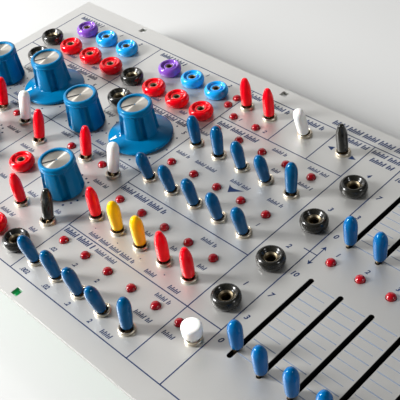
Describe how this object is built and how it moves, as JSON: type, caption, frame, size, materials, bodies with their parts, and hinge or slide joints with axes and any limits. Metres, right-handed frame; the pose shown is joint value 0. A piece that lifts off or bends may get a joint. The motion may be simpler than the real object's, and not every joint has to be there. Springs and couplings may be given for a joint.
{
  "type": "synthesizer panel module",
  "caption": "Rack panel module for signals: aluminium plate with capped toggle switches, sliders, knobs, lamps, a push button and banana jacks over two circuit boards.",
  "frame": {"origin": "middle of the footprint, on the plane of the rear screw heads, with the panel lying face up", "axes": "+X along the panel's width to the right, +Y up the panel's height, +Z out of the panel's face"},
  "size_m": [0.3238, 0.1778, 0.0507],
  "materials": {
    "panel_aluminium": "satin silver-grey face, printed in dark blue ink",
    "circuit_board": "green solder mask over glass fibre, satin",
    "plated_brass": "nickel plated",
    "blue_plastic": "deep blue, glossy",
    "red_plastic": "bright red, glossy",
    "yellow_plastic": "amber yellow, glossy",
    "white_plastic": "warm white, glossy",
    "black_plastic": "black, glossy",
    "knob_blue_plastic": "blue knob body with a spun metal inlay",
    "slider_blue_plastic": "blue slider cap, glossy"
  },
  "bodies": {
    "panel_assembly": {"front_panel": "panel_aluminium", "control_board": "circuit_board", "main_board": "circuit_board", "board_standoff_1": "plated_brass", "board_standoff_2": "plated_brass", "board_standoff_3": "plated_brass", "board_standoff_4": "plated_brass", "board_standoff_5": "plated_brass", "board_standoff_6": "plated_brass"},
    "range_toggle_1": {"range_toggle_1": "blue_plastic"},
    "range_toggle_2": {"range_toggle_2": "blue_plastic"},
    "range_toggle_3": {"range_toggle_3": "blue_plastic"},
    "range_toggle_4": {"range_toggle_4": "blue_plastic"},
    "range_toggle_5": {"range_toggle_5": "blue_plastic"},
    "mode_toggle_1": {"mode_toggle_1": "red_plastic"},
    "mode_toggle_2": {"mode_toggle_2": "yellow_plastic"},
    "mode_toggle_3": {"mode_toggle_3": "yellow_plastic"},
    "mode_toggle_4": {"mode_toggle_4": "red_plastic"},
    "mode_toggle_5": {"mode_toggle_5": "red_plastic"},
    "slope_toggle_1": {"slope_toggle_1": "blue_plastic"},
    "slope_toggle_2": {"slope_toggle_2": "blue_plastic"},
    "slope_toggle_3": {"slope_toggle_3": "blue_plastic"},
    "slope_toggle_4": {"slope_toggle_4": "blue_plastic"},
    "slope_toggle_5": {"slope_toggle_5": "blue_plastic"},
    "source_toggle_1": {"source_toggle_1": "blue_plastic"},
    "source_toggle_2": {"source_toggle_2": "blue_plastic"},
    "source_toggle_3": {"source_toggle_3": "blue_plastic"},
    "source_toggle_4": {"source_toggle_4": "blue_plastic"},
    "source_toggle_5": {"source_toggle_5": "blue_plastic"},
    "step_toggle_1": {"step_toggle_1": "red_plastic"},
    "step_toggle_2": {"step_toggle_2": "red_plastic"},
    "step_toggle_3": {"step_toggle_3": "white_plastic"},
    "step_toggle_4": {"step_toggle_4": "black_plastic"},
    "left_output_toggle_1": {"left_output_toggle_1": "red_plastic"},
    "left_output_toggle_2": {"left_output_toggle_2": "red_plastic"},
    "left_output_toggle_3": {"left_output_toggle_3": "white_plastic"},
    "left_output_toggle_4": {"left_output_toggle_4": "red_plastic"},
    "left_output_toggle_5": {"left_output_toggle_5": "black_plastic"},
    "right_output_toggle_1": {"right_output_toggle_1": "red_plastic"},
    "right_output_toggle_2": {"right_output_toggle_2": "red_plastic"},
    "right_output_toggle_3": {"right_output_toggle_3": "white_plastic"},
    "right_output_toggle_4": {"right_output_toggle_4": "red_plastic"},
    "right_output_toggle_5": {"right_output_toggle_5": "black_plastic"},
    "push_button": {"push_button": "white_plastic"},
    "left_range_knob": {"left_range_knob": "knob_blue_plastic"},
    "left_level_knob": {"left_level_knob": "knob_blue_plastic"},
    "left_dial_knob": {"left_dial_knob": "knob_blue_plastic"},
    "right_range_knob": {"right_range_knob": "knob_blue_plastic"},
    "right_level_knob": {"right_level_knob": "knob_blue_plastic"},
    "right_dial_knob": {"right_dial_knob": "knob_blue_plastic"},
    "lower_slider_1": {"lower_slider_1": "slider_blue_plastic"},
    "lower_slider_2": {"lower_slider_2": "slider_blue_plastic"},
    "lower_slider_3": {"lower_slider_3": "slider_blue_plastic"},
    "lower_slider_4": {"lower_slider_4": "slider_blue_plastic"},
    "lower_slider_5": {"lower_slider_5": "slider_blue_plastic"},
    "upper_slider_1": {"upper_slider_1": "slider_blue_plastic"},
    "upper_slider_2": {"upper_slider_2": "slider_blue_plastic"},
    "upper_slider_3": {"upper_slider_3": "slider_blue_plastic"},
    "upper_slider_4": {"upper_slider_4": "slider_blue_plastic"},
    "upper_slider_5": {"upper_slider_5": "slider_blue_plastic"}
  },
  "joints": [
    {"name": "range_toggle_1_tilt", "type": "hinge", "parent": "panel_assembly", "child": "range_toggle_1", "pos_m": [-0.00803, -0.0689, 0.0297], "axis": [1, 0, 0], "range_deg": [-23, 3]},
    {"name": "range_toggle_2_tilt", "type": "hinge", "parent": "panel_assembly", "child": "range_toggle_2", "pos_m": [0.00685, -0.0689, 0.0297], "axis": [1, 0, 0], "range_deg": [-21, 5]},
    {"name": "range_toggle_3_tilt", "type": "hinge", "parent": "panel_assembly", "child": "range_toggle_3", "pos_m": [0.02174, -0.0689, 0.0297], "axis": [1, 0, 0], "range_deg": [-22, 4]},
    {"name": "range_toggle_4_tilt", "type": "hinge", "parent": "panel_assembly", "child": "range_toggle_4", "pos_m": [0.03663, -0.0689, 0.0297], "axis": [1, 0, 0], "range_deg": [-24, 2]},
    {"name": "range_toggle_5_tilt", "type": "hinge", "parent": "panel_assembly", "child": "range_toggle_5", "pos_m": [0.05151, -0.0689, 0.0297], "axis": [1, 0, 0], "range_deg": [-8, 18]},
    {"name": "mode_toggle_1_tilt", "type": "hinge", "parent": "panel_assembly", "child": "mode_toggle_1", "pos_m": [-0.00803, -0.0343, 0.0297], "axis": [1, 0, 0], "range_deg": [-13, 13]},
    {"name": "mode_toggle_2_tilt", "type": "hinge", "parent": "panel_assembly", "child": "mode_toggle_2", "pos_m": [0.00685, -0.0343, 0.0297], "axis": [1, 0, 0], "range_deg": [-13, 13]},
    {"name": "mode_toggle_3_tilt", "type": "hinge", "parent": "panel_assembly", "child": "mode_toggle_3", "pos_m": [0.02174, -0.0343, 0.0297], "axis": [1, 0, 0], "range_deg": [-13, 13]},
    {"name": "mode_toggle_4_tilt", "type": "hinge", "parent": "panel_assembly", "child": "mode_toggle_4", "pos_m": [0.03663, -0.0343, 0.0297], "axis": [1, 0, 0], "range_deg": [-13, 13]},
    {"name": "mode_toggle_5_tilt", "type": "hinge", "parent": "panel_assembly", "child": "mode_toggle_5", "pos_m": [0.05151, -0.0343, 0.0297], "axis": [1, 0, 0], "range_deg": [-13, 13]},
    {"name": "slope_toggle_1_tilt", "type": "hinge", "parent": "panel_assembly", "child": "slope_toggle_1", "pos_m": [-0.00803, -0.0013, 0.0297], "axis": [1, 0, 0], "range_deg": [-24, 2]},
    {"name": "slope_toggle_2_tilt", "type": "hinge", "parent": "panel_assembly", "child": "slope_toggle_2", "pos_m": [0.00685, -0.0013, 0.0297], "axis": [1, 0, 0], "range_deg": [-24, 2]},
    {"name": "slope_toggle_3_tilt", "type": "hinge", "parent": "panel_assembly", "child": "slope_toggle_3", "pos_m": [0.02174, -0.0013, 0.0297], "axis": [1, 0, 0], "range_deg": [-24, 2]},
    {"name": "slope_toggle_4_tilt", "type": "hinge", "parent": "panel_assembly", "child": "slope_toggle_4", "pos_m": [0.03663, -0.0013, 0.0297], "axis": [1, 0, 0], "range_deg": [-24, 2]},
    {"name": "slope_toggle_5_tilt", "type": "hinge", "parent": "panel_assembly", "child": "slope_toggle_5", "pos_m": [0.05151, -0.0013, 0.0297], "axis": [1, 0, 0], "range_deg": [-24, 2]},
    {"name": "source_toggle_1_tilt", "type": "hinge", "parent": "panel_assembly", "child": "source_toggle_1", "pos_m": [-0.00803, 0.0298, 0.0297], "axis": [1, 0, 0], "range_deg": [-16, 10]},
    {"name": "source_toggle_2_tilt", "type": "hinge", "parent": "panel_assembly", "child": "source_toggle_2", "pos_m": [0.00685, 0.0298, 0.0297], "axis": [1, 0, 0], "range_deg": [-13, 13]},
    {"name": "source_toggle_3_tilt", "type": "hinge", "parent": "panel_assembly", "child": "source_toggle_3", "pos_m": [0.02174, 0.0298, 0.0297], "axis": [1, 0, 0], "range_deg": [-22, 4]},
    {"name": "source_toggle_4_tilt", "type": "hinge", "parent": "panel_assembly", "child": "source_toggle_4", "pos_m": [0.03663, 0.0298, 0.0297], "axis": [1, 0, 0], "range_deg": [-25, 1]},
    {"name": "source_toggle_5_tilt", "type": "hinge", "parent": "panel_assembly", "child": "source_toggle_5", "pos_m": [0.05151, 0.0298, 0.0297], "axis": [1, 0, 0], "range_deg": [-9, 17]},
    {"name": "step_toggle_1_tilt", "type": "hinge", "parent": "panel_assembly", "child": "step_toggle_1", "pos_m": [-0.00803, 0.066, 0.0297], "axis": [1, 0, 0], "range_deg": [-13, 13]},
    {"name": "step_toggle_2_tilt", "type": "hinge", "parent": "panel_assembly", "child": "step_toggle_2", "pos_m": [0.00685, 0.066, 0.0297], "axis": [1, 0, 0], "range_deg": [-13, 13]},
    {"name": "step_toggle_3_tilt", "type": "hinge", "parent": "panel_assembly", "child": "step_toggle_3", "pos_m": [0.02936, 0.066, 0.0297], "axis": [1, 0, 0], "range_deg": [-26, 0]},
    {"name": "step_toggle_4_tilt", "type": "hinge", "parent": "panel_assembly", "child": "step_toggle_4", "pos_m": [0.05216, 0.066, 0.0297], "axis": [1, 0, 0], "range_deg": [-17, 9]},
    {"name": "left_output_toggle_1_tilt", "type": "hinge", "parent": "panel_assembly", "child": "left_output_toggle_1", "pos_m": [-0.14502, -0.01611, 0.0297], "axis": [1, 0, 0], "range_deg": [0, 26]},
    {"name": "left_output_toggle_2_tilt", "type": "hinge", "parent": "panel_assembly", "child": "left_output_toggle_2", "pos_m": [-0.11473, -0.0103, 0.0297], "axis": [1, 0, 0], "range_deg": [-1, 25]},
    {"name": "left_output_toggle_3_tilt", "type": "hinge", "parent": "panel_assembly", "child": "left_output_toggle_3", "pos_m": [-0.09393, -0.0106, 0.0297], "axis": [1, 0, 0], "range_deg": [-1, 25]},
    {"name": "left_output_toggle_4_tilt", "type": "hinge", "parent": "panel_assembly", "child": "left_output_toggle_4", "pos_m": [-0.11413, -0.05, 0.0297], "axis": [1, 0, 0], "range_deg": [-13, 13]},
    {"name": "left_output_toggle_5_tilt", "type": "hinge", "parent": "panel_assembly", "child": "left_output_toggle_5", "pos_m": [-0.09383, -0.0503, 0.0297], "axis": [1, 0, 0], "range_deg": [-1, 25]},
    {"name": "right_output_toggle_1_tilt", "type": "hinge", "parent": "panel_assembly", "child": "right_output_toggle_1", "pos_m": [-0.07502, -0.01611, 0.0297], "axis": [1, 0, 0], "range_deg": [0, 26]},
    {"name": "right_output_toggle_2_tilt", "type": "hinge", "parent": "panel_assembly", "child": "right_output_toggle_2", "pos_m": [-0.04473, -0.0103, 0.0297], "axis": [1, 0, 0], "range_deg": [-1, 25]},
    {"name": "right_output_toggle_3_tilt", "type": "hinge", "parent": "panel_assembly", "child": "right_output_toggle_3", "pos_m": [-0.02393, -0.0106, 0.0297], "axis": [1, 0, 0], "range_deg": [-1, 25]},
    {"name": "right_output_toggle_4_tilt", "type": "hinge", "parent": "panel_assembly", "child": "right_output_toggle_4", "pos_m": [-0.04413, -0.05, 0.0297], "axis": [1, 0, 0], "range_deg": [-13, 13]},
    {"name": "right_output_toggle_5_tilt", "type": "hinge", "parent": "panel_assembly", "child": "right_output_toggle_5", "pos_m": [-0.02383, -0.0503, 0.0297], "axis": [1, 0, 0], "range_deg": [-1, 25]},
    {"name": "push_button_press", "type": "slide", "parent": "panel_assembly", "child": "push_button", "axis": [0, 0, -1], "range_m": [0, 0.0015], "stiffness_N_per_m": 250, "springref_m": -0.0008},
    {"name": "left_range_knob_turn", "type": "hinge", "parent": "panel_assembly", "child": "left_range_knob", "pos_m": [-0.10533, -0.03129, 0.0307], "axis": [0, 0, 1], "range_deg": [-300, 0]},
    {"name": "left_level_knob_turn", "type": "hinge", "parent": "panel_assembly", "child": "left_level_knob", "pos_m": [-0.13633, 0.00839, 0.0307], "axis": [0, 0, 1], "range_deg": [-300, 0]},
    {"name": "left_dial_knob_turn", "type": "hinge", "parent": "panel_assembly", "child": "left_dial_knob", "pos_m": [-0.10523, 0.01771, 0.0307], "axis": [0, 0, 1], "range_deg": [-300, 0]},
    {"name": "right_range_knob_turn", "type": "hinge", "parent": "panel_assembly", "child": "right_range_knob", "pos_m": [-0.03533, -0.03129, 0.0307], "axis": [0, 0, 1], "range_deg": [-300, 0]},
    {"name": "right_level_knob_turn", "type": "hinge", "parent": "panel_assembly", "child": "right_level_knob", "pos_m": [-0.06634, 0.00839, 0.0307], "axis": [0, 0, 1], "range_deg": [-300, 0]},
    {"name": "right_dial_knob_turn", "type": "hinge", "parent": "panel_assembly", "child": "right_dial_knob", "pos_m": [-0.03524, 0.01771, 0.0307], "axis": [0, 0, 1], "range_deg": [-300, 0]},
    {"name": "lower_slider_1_slide", "type": "slide", "parent": "panel_assembly", "child": "lower_slider_1", "axis": [0, 1, 0], "range_m": [-0.0029, 0.0421]},
    {"name": "lower_slider_2_slide", "type": "slide", "parent": "panel_assembly", "child": "lower_slider_2", "axis": [0, 1, 0], "range_m": [0, 0.045]},
    {"name": "lower_slider_3_slide", "type": "slide", "parent": "panel_assembly", "child": "lower_slider_3", "axis": [0, 1, 0], "range_m": [0, 0.045]},
    {"name": "lower_slider_4_slide", "type": "slide", "parent": "panel_assembly", "child": "lower_slider_4", "axis": [0, 1, 0], "range_m": [0, 0.045]},
    {"name": "lower_slider_5_slide", "type": "slide", "parent": "panel_assembly", "child": "lower_slider_5", "axis": [0, 1, 0], "range_m": [0, 0.045]},
    {"name": "upper_slider_1_slide", "type": "slide", "parent": "panel_assembly", "child": "upper_slider_1", "axis": [0, 1, 0], "range_m": [0, 0.045]},
    {"name": "upper_slider_2_slide", "type": "slide", "parent": "panel_assembly", "child": "upper_slider_2", "axis": [0, 1, 0], "range_m": [0, 0.045]},
    {"name": "upper_slider_3_slide", "type": "slide", "parent": "panel_assembly", "child": "upper_slider_3", "axis": [0, 1, 0], "range_m": [0, 0.045]},
    {"name": "upper_slider_4_slide", "type": "slide", "parent": "panel_assembly", "child": "upper_slider_4", "axis": [0, 1, 0], "range_m": [0, 0.045]},
    {"name": "upper_slider_5_slide", "type": "slide", "parent": "panel_assembly", "child": "upper_slider_5", "axis": [0, 1, 0], "range_m": [0, 0.045]}
  ]
}
